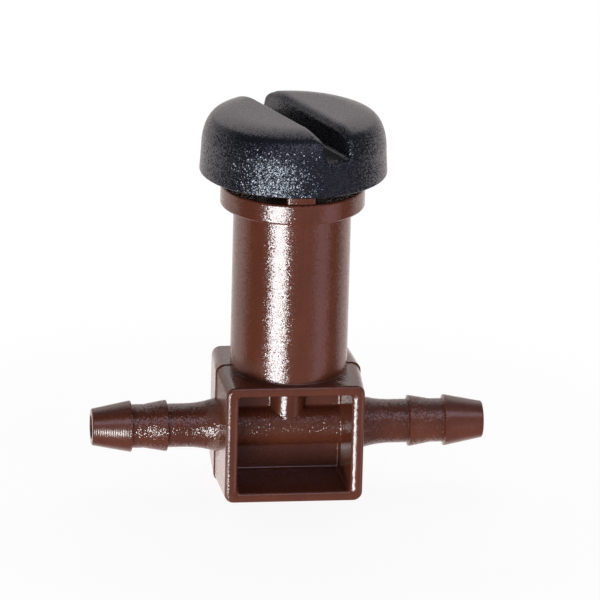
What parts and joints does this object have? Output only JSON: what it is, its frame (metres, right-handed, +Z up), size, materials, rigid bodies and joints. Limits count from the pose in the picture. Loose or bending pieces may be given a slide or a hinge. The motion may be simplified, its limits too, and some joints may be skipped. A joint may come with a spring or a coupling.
{
  "type": "in-line drip valve",
  "caption": "Brown moulded in-line drip valve with opposed hose barbs, a cored box, a round tower and a black slotted screw cap that sets the flow.",
  "frame": {"origin": "centre of the box's flat foot, under the tower's axis, at the lowest point", "axes": "+X along the barbs towards the right barb, +Y from the front pocket to the rear pocket, +Z up the tower"},
  "size_m": [0.0388, 0.0182, 0.0383],
  "materials": {
    "brown_plastic": "semi-gloss moulded plastic with a fine spark-eroded grain",
    "knob_plastic": "charcoal moulded plastic with a fine sparkling grain",
    "stem_plastic": "smooth dark grey moulded plastic",
    "seal_rubber": "smooth black rubber"
  },
  "bodies": {
    "body": {"valve_body": "brown_plastic", "bonnet": "brown_plastic", "bonnet_seal": "seal_rubber"},
    "seals": {"upper_stem_seal": "seal_rubber", "lower_stem_seal": "seal_rubber"},
    "adjuster": {"spindle": "stem_plastic", "knob": "knob_plastic"}
  },
  "joints": [
    {"name": "spindle_lift", "type": "slide", "parent": "body", "child": "seals", "axis": [0, 0, 1], "range_m": [-0.00187, 0.00112]},
    {"name": "knob_turn", "type": "hinge", "parent": "seals", "child": "adjuster", "pos_m": [0, 0, 0.03], "axis": [0, 0, 1], "range_deg": [-450, 270]}
  ],
  "couplings": [
    {"joint": "knob_turn", "follows": "spindle_lift", "rad_per_m": 4188.8}
  ]
}
